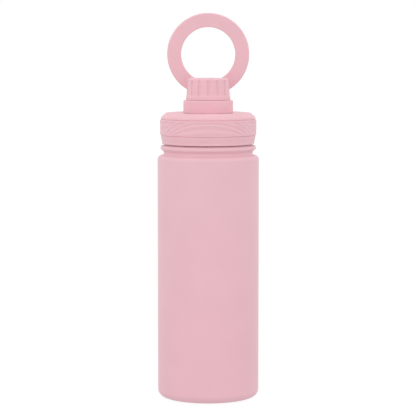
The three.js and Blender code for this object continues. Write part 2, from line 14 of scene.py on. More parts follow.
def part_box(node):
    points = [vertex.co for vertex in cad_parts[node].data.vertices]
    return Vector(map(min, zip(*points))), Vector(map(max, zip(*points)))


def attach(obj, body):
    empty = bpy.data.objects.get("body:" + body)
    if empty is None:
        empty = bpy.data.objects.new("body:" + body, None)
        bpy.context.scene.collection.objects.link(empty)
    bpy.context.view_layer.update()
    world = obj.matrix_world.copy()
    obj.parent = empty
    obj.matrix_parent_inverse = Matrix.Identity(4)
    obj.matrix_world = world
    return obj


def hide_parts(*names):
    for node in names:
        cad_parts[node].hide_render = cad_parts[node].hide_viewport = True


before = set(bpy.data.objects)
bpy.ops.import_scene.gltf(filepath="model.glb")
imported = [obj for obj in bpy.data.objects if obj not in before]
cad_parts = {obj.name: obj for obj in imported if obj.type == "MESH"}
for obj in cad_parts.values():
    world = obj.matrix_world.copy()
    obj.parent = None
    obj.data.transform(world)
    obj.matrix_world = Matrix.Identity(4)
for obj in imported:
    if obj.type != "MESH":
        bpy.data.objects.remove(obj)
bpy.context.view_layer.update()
MM = 0.001


def node_mm(node):
    """A CAD node's lowest and highest corners, in millimetres."""
    low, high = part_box(node)
    return low / MM, high / MM


# ---------- places taken from the frame ----------

SHELL_LOW, SHELL_HIGH = node_mm("outer_shell")
COVER_LOW, COVER_HIGH = node_mm("lid_cover")
CORE_LOW, CORE_HIGH = node_mm("lid_core")
CAP_LOW, CAP_HIGH = node_mm("cap_shell")
COLLAR_LOW, COLLAR_HIGH = node_mm("swivel_collar")
RING_LOW, RING_HIGH = node_mm("ring_front_shell")
BACK_HIGH = node_mm("ring_back_cover")[1]
PAD_LOW, PAD_HIGH = node_mm("ring_grip_pad")
PIN_LOW, PIN_HIGH = node_mm("hinge_pin")
GRID_HIGH = node_mm("mixing_grid")[1]

BODY_R = SHELL_HIGH.x
FOOT_Z = SHELL_LOW.z
RIM_Z = SHELL_HIGH.z
SHOULDER_Z = RIM_Z - 7.55
BEAD_TOP_Z = RIM_Z - 0.65
MOUTH_R = 29.6
LINER_R = 33.0
LID_SIDE_R = COVER_HIGH.x
LID_BOTTOM_Z = COVER_LOW.z
BOSS_TOP_Z = COVER_HIGH.z
LID_TOP_Z = BOSS_TOP_Z - 6.7
SPOUT_LIP_Z = CORE_HIGH.z
SPOUT_R = 10.7
PLUG_BOTTOM_Z = CORE_LOW.z
PLUG_R = 28.1
CAP_R = CAP_HIGH.x
CAP_TOP_Z = CAP_HIGH.z
CAP_BOTTOM_Z = CAP_LOW.z
COLLAR_R = COLLAR_HIGH.x
COLLAR_TOP_Z = COLLAR_HIGH.z
RING_R = RING_HIGH.x
RING_HOLE_R = 19.6
RING_FRONT_Y = RING_LOW.y
RING_CENTRE_Z = RING_HIGH.z - RING_R
RING_DEPTH = BACK_HIGH.y - RING_FRONT_Y
HINGE_Y = (PIN_LOW.y + PIN_HIGH.y) / 2
HINGE_Z = (PIN_LOW.z + PIN_HIGH.z) / 2
KNUCKLE_R = 3.0


# ---------- mesh helpers ----------

FILLET_ROOM = 0.98  # share of an edge that the fillets at its ends may take
ON_AXIS = 1e-6  # a radius below this is a point on the axis
ON_WALL = 0.05  # how near to a thread's wall a point belongs to it
THREAD_FADE_DEG = 24  # over which each ridge runs out at its ends
OUTWARD = 1
INWARD = -1


def fillet_radius(corner):
    return corner[2] if len(corner) > 2 else 0.0


def edge_share(radius, neighbour, length):
    """How much of an edge a corner's fillet may take, beside its neighbour's fillet."""
    return FILLET_ROOM * length * radius / (radius + fillet_radius(neighbour))


def rounded_corner(before, corner, after, step_deg):
    """The points of one corner's fillet, which is made smaller where its edges have no room for it."""
    here = Vector(corner[:2])
    back = Vector(before[:2]) - here
    ahead = Vector(after[:2]) - here
    inner = back.angle(ahead)
    turn = math.pi - inner
    wanted = fillet_radius(corner)
    room = min(edge_share(wanted, before, back.length), edge_share(wanted, after, ahead.length))
    reach = min(wanted * math.tan(turn / 2), room)
    radius = reach / math.tan(turn / 2)
    back.normalize()
    ahead.normalize()
    centre = here + (back + ahead).normalized() * radius / math.sin(inner / 2)
    start = here + back * reach - centre
    end = here + ahead * reach - centre
    first = math.atan2(start.y, start.x)
    sweep = math.remainder(math.atan2(end.y, end.x) - first, 2 * math.pi)
    steps = max(2, math.ceil(math.degrees(turn) / step_deg))
    angles = [first + sweep * k / steps for k in range(steps + 1)]
    return [centre + Vector((math.cos(angle), math.sin(angle))) * radius for angle in angles]


def fillet(corners, closed=True, step_deg=11.0):
    """Rounds a profile's corners. A corner is (r, z) or (r, z, fillet radius)."""
    count = len(corners)
    points = []
    for i, corner in enumerate(corners):
        is_end = not closed and i in (0, count - 1)
        if is_end or fillet_radius(corner) == 0.0:
            points.append(Vector(corner[:2]))
        else:
            points += rounded_corner(corners[i - 1], corner, corners[(i + 1) % count], step_deg)
    return [(p.x, p.y) for p in points]


def refine(profile, low_z, high_z, step, min_r=0.0, max_r=math.inf):
    """Adds rows to the stretches of a profile that reach into a height range, within a radius range."""
    points = []
    for (r0, z0), (r1, z1) in zip(profile, profile[1:] + profile[:1]):
        points.append((r0, z0))
        middle_r = (r0 + r1) / 2
        reaches_in = max(min(z0, z1), low_z) < min(max(z0, z1), high_z)
        if not reaches_in or not min_r <= middle_r <= max_r:
            continue
        pieces = math.ceil(math.hypot(r1 - r0, z1 - z0) / step)
        for k in range(1, pieces):
            points.append((r0 + (r1 - r0) * k / pieces, z0 + (z1 - z0) * k / pieces))
    return points


def new_object(name, data):
    obj = bpy.data.objects.new(name, data)
    bpy.context.scene.collection.objects.link(obj)
    return obj


def row_faces(rows, segments, is_ring):
    """The quads between a lathe's rows. A ring's last row joins its first."""
    faces = []
    for i in range(rows if is_ring else rows - 1):
        a = i * segments
        b = (i + 1) % rows * segments
        for j in range(segments):
            k = (j + 1) % segments
            faces.append((a + j, a + k, b + k, b + j))
    return faces


def pole_faces(rows, segments):
    """The fans from a lathe's two points on the axis, which follow its rows, to its end rows."""
    first = rows * segments
    last = first + 1
    top = (rows - 1) * segments
    faces = []
    for j in range(segments):
        k = (j + 1) % segments
        faces.append((first, k, j))
        faces.append((top + j, top + k, last))
    return faces


def lathe(name, profile, segments=192, shape=None):
    """Revolves a profile about Z, its material on the left. One that starts off the axis is a ring.

    shape(theta, r, z) may return a new radius for each point, for threads, flutes and ripples.
    """
    points = np.array(profile, float)
    is_ring = points[0, 0] > ON_AXIS
    rings = points if is_ring else points[1:-1]
    rows = len(rings)
    theta = 2 * np.pi * np.arange(segments) / segments
    radius = np.repeat(rings[:, 0][:, None], segments, axis=1)
    height = np.repeat(rings[:, 1][:, None], segments, axis=1)
    turned = np.repeat(theta[None, :], rows, axis=0)
    if shape is not None:
        radius = shape(turned, radius, height)
    grid = np.stack([radius * np.cos(turned), radius * np.sin(turned), height], axis=-1)
    verts = [tuple(v) for v in (grid.reshape(-1, 3) * MM)]
    faces = row_faces(rows, segments, is_ring)
    if not is_ring:
        verts += [(0, 0, points[0, 1] * MM), (0, 0, points[-1, 1] * MM)]
        faces += pole_faces(rows, segments)
    mesh = bpy.data.meshes.new(name)
    mesh.from_pydata(verts, [], faces)
    mesh.validate()
    return new_object(name, mesh)


def cutting_cylinder(name, radius, low_z, high_z):
    """An upright cylinder on the bottle's axis."""
    return lathe(name, [(0, low_z), (radius, low_z), (radius, high_z), (0, high_z)], segments=128)


def rounded_block(name, low, high, radius):
    """A box with rounded edges, given by its corners in millimetres."""
    mesh = bpy.data.meshes.new(name)
    shape = bmesh.new()
    bmesh.ops.create_cube(shape, size=1.0)
    for vert in shape.verts:
        for axis in range(3):
            vert.co[axis] = (high[axis] if vert.co[axis] > 0 else low[axis]) * MM
    bmesh.ops.bevel(shape, geom=shape.edges[:], offset=radius * MM, segments=4, profile=0.5, affect="EDGES")
    shape.to_mesh(mesh)
    shape.free()
    return new_object(name, mesh)


def onto_hinge(obj):
    """Turns a piece made about Z so that it lies along X, on the hinge's axis."""
    place = Matrix.Translation((0, HINGE_Y * MM, HINGE_Z * MM))
    obj.data.transform(place @ Matrix.Rotation(math.pi / 2, 4, "Y"))
    return obj


def hinge_bar(name, radius, from_x, to_x, edge=0.3, segments=64):
    """A round bar on the hinge's axis with eased ends."""
    corners = [(0, from_x), (radius, from_x, edge), (radius, to_x, edge), (0, to_x)]
    return onto_hinge(lathe(name, fillet(corners, closed=False), segments))


def combine(base, added=(), removed=()):
    """Joins pieces to a base and cuts others away, and leaves one clean mesh."""
    helpers = [(tool, "UNION") for tool in added] + [(tool, "DIFFERENCE") for tool in removed]
    for tool, operation in helpers:
        boolean = base.modifiers.new(operation.title(), "BOOLEAN")
        boolean.operation = operation
        boolean.solver = "EXACT"
        boolean.object = tool
    depsgraph = bpy.context.evaluated_depsgraph_get()
    mesh = bpy.data.meshes.new_from_object(base.evaluated_get(depsgraph))
    base.modifiers.clear()
    base.data = mesh
    for tool, _ in helpers:
        bpy.data.objects.remove(tool)
    return base


def finish_piece(obj, body, material, replaces, sharp_deg=38.0):
    """Smooth shading with crisp corners, its material, and its place in the frame."""
    obj.data.shade_smooth()
    obj.data.set_sharp_from_angle(angle=math.radians(sharp_deg))
    weighted = obj.modifiers.new("Weighted normals", "WEIGHTED_NORMAL")
    weighted.keep_sharp = True
    obj.data.materials.clear()
    obj.data.materials.append(material)
    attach(obj, body)
    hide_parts(*replaces)
    return obj


def smoothstep(value):
    value = np.clip(value, 0.0, 1.0)
    return value * value * (3 - 2 * value)


def thread(wall_r, direction, bottom_z, starts, lead, height, root_width, crest_width, sweep_deg):
    """A shape function that raises a right-hand thread's ridges from a wall, OUTWARD or INWARD."""
    sweep = math.radians(sweep_deg)
    fade = math.radians(THREAD_FADE_DEG)

    def shape(theta, radius, z):
        raised = np.zeros_like(radius)
        for start in range(starts):
            turned = np.mod(theta - 2 * np.pi * start / starts, 2 * np.pi)
            centre_z = bottom_z + lead * turned / (2 * np.pi)
            off = np.abs(z - centre_z)
            flank = (root_width / 2 - off) / ((root_width - crest_width) / 2)
            to_end = np.minimum(turned, sweep - turned) / fade
            ridge = smoothstep(flank) * smoothstep(to_end) * height
            raised = np.maximum(raised, ridge)
        on_wall = np.abs(radius - wall_r) < ON_WALL
        return radius + np.where(on_wall, direction * raised, 0.0)

    return shape


# ---------- materials ----------

NOISE_LOW = 0.3  # a noise texture mostly stays between these two
NOISE_HIGH = 0.7


def scaled(colour, factor):
    return tuple(min(1.0, channel * factor) for channel in colour)


class Tree:
    """A node tree, with short calls for the nodes that the materials and the world share."""

    def __init__(self, tree):
        self.tree = tree

    def add(self, kind, **values):
        node = self.tree.nodes.new(kind)
        for key, value in values.items():
            setattr(node, key, value)
        return node

    def link(self, source, target):
        self.tree.links.new(source, target)

    def remap(self, value, low, high, to_low, to_high, kind="SMOOTHSTEP"):
        node = self.add("ShaderNodeMapRange", clamp=True, interpolation_type=kind)
        self.link(value, node.inputs["Value"])
        node.inputs["From Min"].default_value = low
        node.inputs["From Max"].default_value = high
        node.inputs["To Min"].default_value = to_low
        node.inputs["To Max"].default_value = to_high
        return node.outputs["Result"]

    def math(self, operation, first, second):
        node = self.add("ShaderNodeMath", operation=operation)
        for socket, value in zip(node.inputs, (first, second)):
            if isinstance(value, (int, float)):
                socket.default_value = value
            else:
                self.link(value, socket)
        return node.outputs["Value"]

    def part_of(self, vector, axis):
        split = self.add("ShaderNodeSeparateXYZ")
        self.link(vector, split.inputs["Vector"])
        return split.outputs[axis]


class Look(Tree):
    """A material's node tree around its Principled shader, in the object's own coordinates."""

    def __init__(self, name):
        self.material = bpy.data.materials.new(name)
        self.material.use_nodes = True
        super().__init__(self.material.node_tree)
        self.shader = self.tree.nodes["Principled BSDF"]
        self.place = self.add("ShaderNodeTexCoord").outputs["Object"]

    def noise(self, scale, detail=3.0, roughness=0.5, squeeze=(1, 1, 1)):
        """A noise texture, squeezed along each axis by the number given for it."""
        mapping = self.add("ShaderNodeMapping")
        mapping.inputs["Scale"].default_value = squeeze
        self.link(self.place, mapping.inputs["Vector"])
        noise = self.add("ShaderNodeTexNoise")
        noise.inputs["Scale"].default_value = scale
        noise.inputs["Detail"].default_value = detail
        noise.inputs["Roughness"].default_value = roughness
        self.link(mapping.outputs["Vector"], noise.inputs["Vector"])
        return noise.outputs["Fac"]

    def spread(self, noise, to_low=0.0, to_high=1.0):
        """Remaps what a noise mostly fills to a range."""
        return self.remap(noise, NOISE_LOW, NOISE_HIGH, to_low, to_high)

    def mix(self, factor, first, second):
        node = self.add("ShaderNodeMix", data_type="RGBA")
        self.link(factor, node.inputs["Factor"])
        for socket, value in ((node.inputs["A"], first), (node.inputs["B"], second)):
            if isinstance(value, tuple):
                socket.default_value = (*value, 1.0)
            else:
                self.link(value, socket)
        return node.outputs["Result"]

    def mottled(self, noise, colour, deeper, paler):
        """A colour that wanders between a deeper and a paler shade of itself."""
        return self.mix(self.spread(noise), scaled(colour, deeper), scaled(colour, paler))

    def height(self):
        """The Z of the point, in metres."""
        return self.part_of(self.place, "Z")

    def edges(self, low, high):
        """0 on flat stretches, 1 on convex edges."""
        return self.remap(self.add("ShaderNodeNewGeometry").outputs["Pointiness"], low, high, 0.0, 1.0)

    def bump(self, height, strength, distance, under=None):
        node = self.add("ShaderNodeBump")
        node.inputs["Strength"].default_value = strength
        node.inputs["Distance"].default_value = distance
        self.link(height, node.inputs["Height"])
        if under is not None:
            self.link(under, node.inputs["Normal"])
        return node.outputs["Normal"]

    def set(self, **values):
        for key, value in values.items():
            self.shader.inputs[key.replace("_", " ")].default_value = value

    def finish(self, colour, roughness, normal):
        self.link(colour, self.shader.inputs["Base Color"])
        self.link(roughness, self.shader.inputs["Roughness"])
        self.link(normal, self.shader.inputs["Normal"])
        return self.material


PINK = (0.794, 0.420, 0.482)
# The coat's colour at the foot, made darker as painted shade.
PINK_IN_PAINTED_SHADE_AT_FOOT = (0.784, 0.390, 0.457)
PINK_MOULDED = (0.817, 0.428, 0.491)
PINK_SOFT = (0.80, 0.40, 0.46)
PINK_WORN = (0.84, 0.52, 0.57)
DUST = (0.82, 0.78, 0.77)
MOTTLE_DEEPER = 0.985
MOTTLE_PALER = 1.015


def coat_wear(look):
    """Fine scratches, near the foot and on the bead only."""
    streaks = look.noise(420, detail=4.0, roughness=0.65, squeeze=(1, 1, 6))
    scratches = look.remap(streaks, 0.56, 0.70, 0.0, 1.0)
    near_foot = look.remap(look.height(), (FOOT_Z + 0.4) * MM, (FOOT_Z + 4.5) * MM, 1.0, 0.0)
    near_bead = look.remap(look.height(), (SHOULDER_Z + 2.0) * MM, (BEAD_TOP_Z - 0.7) * MM, 0.0, 0.7)
    return look.math("MULTIPLY", scratches, look.math("MAXIMUM", near_foot, near_bead))


def powder_coat():
    """Matt powder coat with an orange-peel skin, painted shade that deepens toward the foot, and light
    scuffs.
    """
    n = Look("powder_coat")
    # Painted shade: the colour darkens from the shoulder down to the foot, as if less light reached it
    # there.
    rise = n.remap(n.height(), FOOT_Z * MM, SHOULDER_Z * MM, 0.0, 1.0)
    deeper = n.mix(rise, scaled(PINK_IN_PAINTED_SHADE_AT_FOOT, MOTTLE_DEEPER), scaled(PINK, MOTTLE_DEEPER))
    paler = n.mix(rise, scaled(PINK_IN_PAINTED_SHADE_AT_FOOT, MOTTLE_PALER), scaled(PINK, MOTTLE_PALER))
    colour = n.mix(n.spread(n.noise(38, detail=2.0)), deeper, paler)
    speckle = n.noise(2600, detail=1.0)
    colour = n.mix(n.remap(speckle, 0.62, 0.78, 0.0, 0.35), colour, scaled(PINK, 1.10))
    worn = coat_wear(n)
    colour = n.mix(n.math("MULTIPLY", worn, 0.25), colour, PINK_WORN)
    unworn_roughness = n.spread(n.noise(700), 0.53, 0.61)
    roughness = n.math("SUBTRACT", unworn_roughness, n.math("MULTIPLY", worn, 0.12))
    peel = n.bump(n.noise(950, detail=2.0), 0.20, 0.06 * MM)
    grain = n.bump(speckle, 0.10, 0.03 * MM, peel)
    n.set(IOR=1.5, Coat_Weight=0.15, Coat_Roughness=0.3, Sheen_Weight=0.22, Sheen_Roughness=0.4)
    return n.finish(colour, roughness, grain)


def moulded_plastic(name, colour, low=0.44, high=0.54):
    """Matt moulded plastic with a fine spark-eroded grain, and convex edges that are smoother from handling
    and paler with a painted highlight.
    """
    n = Look(name)
    base = n.mottled(n.noise(70), colour, MOTTLE_DEEPER, MOTTLE_PALER)
    patches = n.remap(n.noise(260, detail=4.0), 0.40, 0.66, 0.15, 1.0)
    # Painted highlight: convex edges get a paler colour. They also get a little less roughness, as handled
    # edges wear smooth.
    painted_highlight_and_wear = n.math("MULTIPLY", n.edges(0.505, 0.56), patches)
    base = n.mix(n.math("MULTIPLY", painted_highlight_and_wear, 0.22), base, scaled(colour, 1.14))
    smears = n.remap(n.noise(55, detail=5.0, roughness=0.6), 0.35, 0.7, low, high)
    roughness = n.math("SUBTRACT", smears, n.math("MULTIPLY", painted_highlight_and_wear, 0.07))
    grain = n.bump(n.noise(2200, detail=2.0), 0.16, 0.04 * MM)
    flow = n.bump(n.noise(90, detail=1.0), 0.10, 0.1 * MM, grain)
    n.set(IOR=1.49, Subsurface_Weight=0.3, Subsurface_Scale=1.5 * MM, Coat_Weight=0.1, Coat_Roughness=0.3)
    n.shader.inputs["Subsurface Radius"].default_value = (1.0, 0.35, 0.4)
    return n.finish(base, roughness, flow)


def silicone(name, colour, low=0.52, high=0.66):
    """Soft silicone that light soaks into, with fine dust and tiny pits."""
    n = Look(name)
    dust = n.remap(n.noise(1800, detail=2.0), 0.60, 0.72, 0.0, 0.5)
    base = n.mix(dust, n.mottled(n.noise(120), colour, 0.97, 1.03), DUST)
    roughness = n.spread(n.noise(300), low, high)
    pits = n.bump(n.noise(1500, detail=2.0), 0.15, 0.05 * MM)
    n.set(IOR=1.41, Subsurface_Weight=0.25, Subsurface_Scale=3 * MM)
    return n.finish(base, roughness, pits)


def steel(name, colour, low, high, squeeze=(1, 1, 14), scale=900):
    """Steel with fine turning marks around the squeezed axis, or plain grain where none is squeezed."""
    n = Look(name)
    lines = n.noise(scale, roughness=0.6, squeeze=squeeze)
    stain = n.noise(45, detail=4.0, roughness=0.6)
    base = n.mix(n.remap(stain, 0.35, 0.7, 0.0, 1.0), colour, scaled(colour, 0.90))
    dulled = n.remap(stain, 0.5, 0.8, 0.0, 0.06)
    roughness = n.math("ADD", n.spread(lines, low, high), dulled)
    n.set(Metallic=1.0)
    return n.finish(base, roughness, n.bump(lines, 0.12, 0.03 * MM))


def rough_mineral(name, colour, scale):
    """Foam, sintered metal and sealing bead: a pitted, dull surface."""
    n = Look(name)
    cells = n.add("ShaderNodeTexVoronoi")
    cells.inputs["Scale"].default_value = scale
    n.link(n.place, cells.inputs["Vector"])
    pits = n.remap(cells.outputs["Distance"], 0.0, 0.6, 0.0, 1.0)
    base = n.mix(pits, scaled(colour, 0.82), scaled(colour, 1.04))
    roughness = n.spread(n.noise(scale / 3, detail=2.0), 0.78, 0.95)
    return n.finish(base, roughness, n.bump(pits, 0.5, 0.2 * MM))


COAT = powder_coat()
PLASTIC = moulded_plastic("pink_plastic", PINK_MOULDED)
PINK_RUBBER = silicone("pink_silicone", PINK_SOFT)
CLEAR_RUBBER = silicone("clear_silicone", (0.80, 0.80, 0.77))
NYLON = moulded_plastic("washer_nylon", (0.80, 0.79, 0.74), 0.38, 0.48)
BARE_STEEL = steel("bare_steel", (0.71, 0.71, 0.72), 0.24, 0.38)
PIN_STEEL = steel("pin_steel", (0.58, 0.58, 0.60), 0.20, 0.32, squeeze=(14, 1, 1))
MAGNET = steel("magnet", (0.55, 0.55, 0.57), 0.18, 0.28, squeeze=(1, 1, 1), scale=500)
FOAM = rough_mineral("foam", (0.85, 0.82, 0.74), 900)
GETTER = rough_mineral("getter", (0.25, 0.24, 0.23), 2500)
SEAL_BEAD = rough_mineral("seal_bead", (0.18, 0.17, 0.15), 1500)


# ---------- threads ----------

LINER_THREAD_Z = 174.9
PLUG_THREAD_Z = LINER_THREAD_Z - 1.6
SPOUT_THREAD_Z = 216.6
CAP_THREAD_Z = 217.8
SPOUT_THREAD_ROW = 0.2  # height of the rows that carry the spout's thread

LID_THREAD = {
    "starts": 3,
    "lead": 12,
    "height": 1.1,
    "root_width": 1.9,
    "crest_width": 0.7,
    "sweep_deg": 180,
}
SPOUT_THREAD = {
    "starts": 2,
    "lead": 6,
    "height": 0.8,
    "root_width": 1.4,
    "crest_width": 0.4,
    "sweep_deg": 300,
}


# ---------- bottle ----------

def make_outer_shell():
    foot_r = 28.4
    foot_lip_z = FOOT_Z + 2.2
    groove_r = 32.1
    bead_r = 34.35
    rim_r = 30.4
    wall = 0.6
    outside = [
        (foot_r, foot_lip_z, 0.1),
        (foot_r, FOOT_Z, 0.9),
        (BODY_R, FOOT_Z, 5.5),
        (BODY_R, SHOULDER_Z, 3.0),
        (groove_r, SHOULDER_Z - 0.05, 1.2),
        (groove_r, SHOULDER_Z + 2.6, 0.8),
        (bead_r, SHOULDER_Z + 4.5, 1.2),
        (bead_r, BEAD_TOP_Z, 1.4),
        (rim_r + 1.1, BEAD_TOP_Z, 0.15),
        (rim_r + 0.9, RIM_Z, 0.2),
        (rim_r, RIM_Z, 0.25),
    ]
    inside = [
        (rim_r, RIM_Z - wall, 0.1),
        (rim_r + 0.4, RIM_Z - wall, 0.1),
        (rim_r + 0.5, BEAD_TOP_Z - wall, 0.1),
        (bead_r - 0.75, BEAD_TOP_Z - wall, 0.9),
        (bead_r - 0.75, SHOULDER_Z + 5.2, 0.8),
        (groove_r - wall, SHOULDER_Z + 3.2, 0.8),
        (groove_r - wall, SHOULDER_Z - wall, 1.4),
        (BODY_R - wall, SHOULDER_Z - wall, 2.4),
        (BODY_R - wall, FOOT_Z + wall, 5.0),
        (foot_r + wall, FOOT_Z + wall, 0.4),
        (foot_r + wall, foot_lip_z, 0.1),
    ]
    profile = fillet(outside + inside, step_deg=9.0)
    shell = lathe("coated_shell", profile, segments=256)
    return finish_piece(shell, "bottle", COAT, ["outer_shell"])


def make_inner_liner():
    wall = 0.5
    floor = 8.0
    crown = floor + 0.5  # the raised middle of the floor
    shoulder = 165.0
    neck = 171.6
    profile = fillet([
        (0, floor - wall),
        (LINER_R + wall, floor - wall, 8.5),
        (LINER_R + wall, shoulder, 4.0),
        (MOUTH_R + wall, neck, 3.0),
        (MOUTH_R + wall, RIM_Z, 0.1),
        (MOUTH_R, RIM_Z, 0.2),
        (MOUTH_R, neck, 3.0),
        (LINER_R, shoulder, 4.0),
        (LINER_R, floor, 8.0),
        (6.0, floor, 1.0),
        (4.0, crown, 1.0),
        (0, crown),
    ], closed=False)
    profile = refine(profile, neck + 1.0, RIM_Z, step=0.22, max_r=MOUTH_R + 0.1)
    shape = thread(MOUTH_R, INWARD, LINER_THREAD_Z, **LID_THREAD)
    liner = lathe("steel_flask", profile, segments=240, shape=shape)
    return finish_piece(liner, "bottle", BARE_STEEL, ["inner_liner"])


def make_base_plate():
    low, high = node_mm("base_plate")
    hole_r = 1.6
    profile = fillet([
        (hole_r, low.z, 0.1),
        (6.0, low.z, 0.6),
        (8.0, low.z + 0.05, 0.6),
        (high.x - 0.2, low.z, 0.2),
        (high.x - 0.05, high.z, 0.2),
        (hole_r, high.z, 0.1),
    ])
    plate = lathe("base_disc", profile, segments=128)
    return finish_piece(plate, "bottle", BARE_STEEL, ["base_plate"])


def make_base_pad():
    """The foot pad, with a hollow in its middle and three grip grooves around it."""
    high = node_mm("base_pad")[1]
    groove = 0.45
    plug_recess_r = 4.2
    plug_recess = 1.0
    corners = [(0, groove), (9.0, groove, 0.3), (9.6, 0, 0.3)]
    for ring_r in (15.0, 19.5, 24.0):
        corners += [(ring_r - 0.6, 0, 0.2), (ring_r - 0.2, groove, 0.2)]
        corners += [(ring_r + 0.2, groove, 0.2), (ring_r + 0.6, 0, 0.2)]
    corners += [(high.x, 0, 0.9), (high.x, high.z, 0.3)]
    corners += [(plug_recess_r, high.z, 0.3), (plug_recess_r, plug_recess, 0.2), (0, plug_recess)]
    pad = lathe("foot_pad", fillet(corners, closed=False), segments=160)
    return finish_piece(pad, "bottle", PINK_RUBBER, ["base_pad"])


# ---------- lid ----------

BAND_BOTTOM_Z = LID_BOTTOM_Z + 6.75
BAND_TOP_Z = LID_BOTTOM_Z + 17.35
ARC_DROP = 49.3  # how far below the band's bottom the arcs' centres lie
ARC_R = 57.2  # radius of the arc that parts the inner ripples from the outer ones
ARC_PITCH = 3.0
INNER_CREST = 2.6  # height of the lowest ripple at the middle of a mound
INNER_SPREAD = 300  # how flat the lowest ripple is
MOUNDS = 3
RIPPLE_DEPTH = 0.36
RIPPLE_TOP_Z = BAND_TOP_Z - 0.65
RIPPLE_FADE = 0.7
RIPPLE_MIN_PITCH = 1.5


def grip_ripple(theta, radius, z):
    """Soft ripples on the grip band: nested arcs that rise to a mound, three times round the lid."""
    above = z - BAND_BOTTOM_Z
    mound = np.round((theta + np.pi / 2) * MOUNDS / (2 * np.pi))
    centre = -np.pi / 2 + 2 * np.pi * mound / MOUNDS
    off = (theta - centre) * LID_SIDE_R
    outer_crest = np.sqrt(np.maximum(ARC_R ** 2 - off ** 2, 0.0)) - ARC_DROP
    inner_crest = INNER_CREST - off ** 2 / INNER_SPREAD
    inner_phase = (above - inner_crest) / np.maximum(outer_crest - inner_crest, RIPPLE_MIN_PITCH)
    outer_phase = (np.hypot(off, above + ARC_DROP) - ARC_R) / ARC_PITCH + 1
    phase = np.where(above > outer_crest, outer_phase, inner_phase)
    raised = 0.5 + 0.5 * np.cos(2 * np.pi * phase)
    fade = smoothstep(above / RIPPLE_FADE) * smoothstep((RIPPLE_TOP_Z - z) / RIPPLE_FADE)
    on_band = radius > LID_SIDE_R - 0.02
    return radius - np.where(on_band, RIPPLE_DEPTH * (1 - raised) * fade, 0.0)


def make_lid_cover():
    side = LID_SIDE_R
    bottom = LID_BOTTOM_Z + 0.1
    recess_z = LID_TOP_Z - 0.4
    boss_r = 16.0
    clip_r = 15.2  # the groove that holds the collar
    spout_hole_r = 12.9
    roof = LID_TOP_Z - 2.0
    cavity_r = 32.6
    cavity_top = 201.2
    cavity_bottom = 187.9
    corners = [
        (31.5, bottom, 0.2),
        (33.2, bottom, 0.4),
        (33.22, bottom + 1.7, 2.5),
        (34.0, bottom + 4.6, 3.0),
        (34.0, BAND_BOTTOM_Z - 0.5, 0.2),
        (33.65, BAND_BOTTOM_Z - 0.15, 0.1),
        (side, BAND_BOTTOM_Z, 0.12),
        (side, BAND_TOP_Z, 0.75),
        (side - 1.0, BAND_TOP_Z + 0.25, 0.15),
        (side - 1.05, BAND_TOP_Z + 0.6, 0.1),
        (side - 0.55, BAND_TOP_Z + 0.8, 0.2),
        (side - 1.15, BAND_TOP_Z + 2.3, 0.9),
        (side - 4.2, LID_TOP_Z - 0.1, 1.0),
        (22.0, LID_TOP_Z - 0.05, 3.0),
        (18.4, recess_z, 0.5),
        (boss_r, recess_z, 0.25),
        (boss_r, LID_TOP_Z + 2.0, 0.1),
        (clip_r, LID_TOP_Z + 2.0, 0.1),
        (clip_r, LID_TOP_Z + 3.8, 0.1),
        (boss_r, LID_TOP_Z + 3.8, 0.1),
        (boss_r, BOSS_TOP_Z, 0.4),
        (spout_hole_r, BOSS_TOP_Z, 0.2),
        (spout_hole_r, roof, 0.2),
        (29.9, roof, 0.5),
        (cavity_r, cavity_top, 0.5),
        (cavity_r, cavity_bottom, 0.2),
        (31.5, cavity_bottom - 0.3, 0.2),
    ]
    profile = refine(fillet(corners), BAND_BOTTOM_Z, BAND_TOP_Z, step=0.22, min_r=side - 0.01)
    cover = lathe("lid_shell", profile, segments=540, shape=grip_ripple)
    return finish_piece(cover, "lid", PLASTIC, ["lid_cover"])


def core_threads(theta, radius, z):
    """The plug's thread and the spout's, both on one moulding."""
    plug_thread = thread(PLUG_R, OUTWARD, PLUG_THREAD_Z, **LID_THREAD)
    spout_thread = thread(SPOUT_R, OUTWARD, SPOUT_THREAD_Z, **SPOUT_THREAD)
    return spout_thread(theta, plug_thread(theta, radius, z), z)


def make_lid_core():
    flange_z = LID_BOTTOM_Z + 2.0
    flange_top = flange_z + 1.8
    flange_r = 31.2
    funnel_r = 26.3
    neck_r = 12.6
    bore_r = 9.0
    profile = fillet([
        (funnel_r, PLUG_BOTTOM_Z, 0.3),
        (PLUG_R, PLUG_BOTTOM_Z, 0.6),
        (PLUG_R, flange_z, 0.3),
        (flange_r, flange_z, 0.2),
        (flange_r, flange_top, 0.3),
        (27.0, flange_top, 1.0),
        (neck_r, 195.2, 1.0),
        (neck_r, BOSS_TOP_Z + 0.6, 0.5),
        (SPOUT_R, BOSS_TOP_Z + 1.2, 0.3),
        (SPOUT_R, SPOUT_LIP_Z, 0.8),
        (bore_r, SPOUT_LIP_Z, 0.75),
        (bore_r, 194.9, 5.0),
        (funnel_r, 185.4, 3.0),
    ])
    profile = refine(profile, PLUG_BOTTOM_Z + 0.6, flange_z, step=0.25, min_r=PLUG_R - 0.05)
    spout_low = BOSS_TOP_Z + 1.6
    spout_high = SPOUT_LIP_Z - 0.8
    profile = refine(profile, spout_low, spout_high, SPOUT_THREAD_ROW, SPOUT_R - 0.1, SPOUT_R + 0.1)
    core = lathe("threaded_core", profile, segments=240, shape=core_threads)
    return finish_piece(core, "lid", PLASTIC, ["lid_core"])


def make_gasket():
    low, high = node_mm("lid_gasket")
    inner = PLUG_R + 0.5
    outer = high.x
    profile = fillet([
        (inner, low.z + 0.5, 0.3),
        (inner + 0.9, low.z, 0.3),
        (outer - 0.5, low.z, 0.3),
        (outer, low.z + 0.5, 0.3),
        (outer, high.z, 0.3),
        (inner, high.z, 0.3),
    ])
    gasket = lathe("sealing_ring", profile, segments=160)
    return finish_piece(gasket, "lid_seal", PINK_RUBBER, ["lid_gasket"])


# ---------- mixing grid ----------

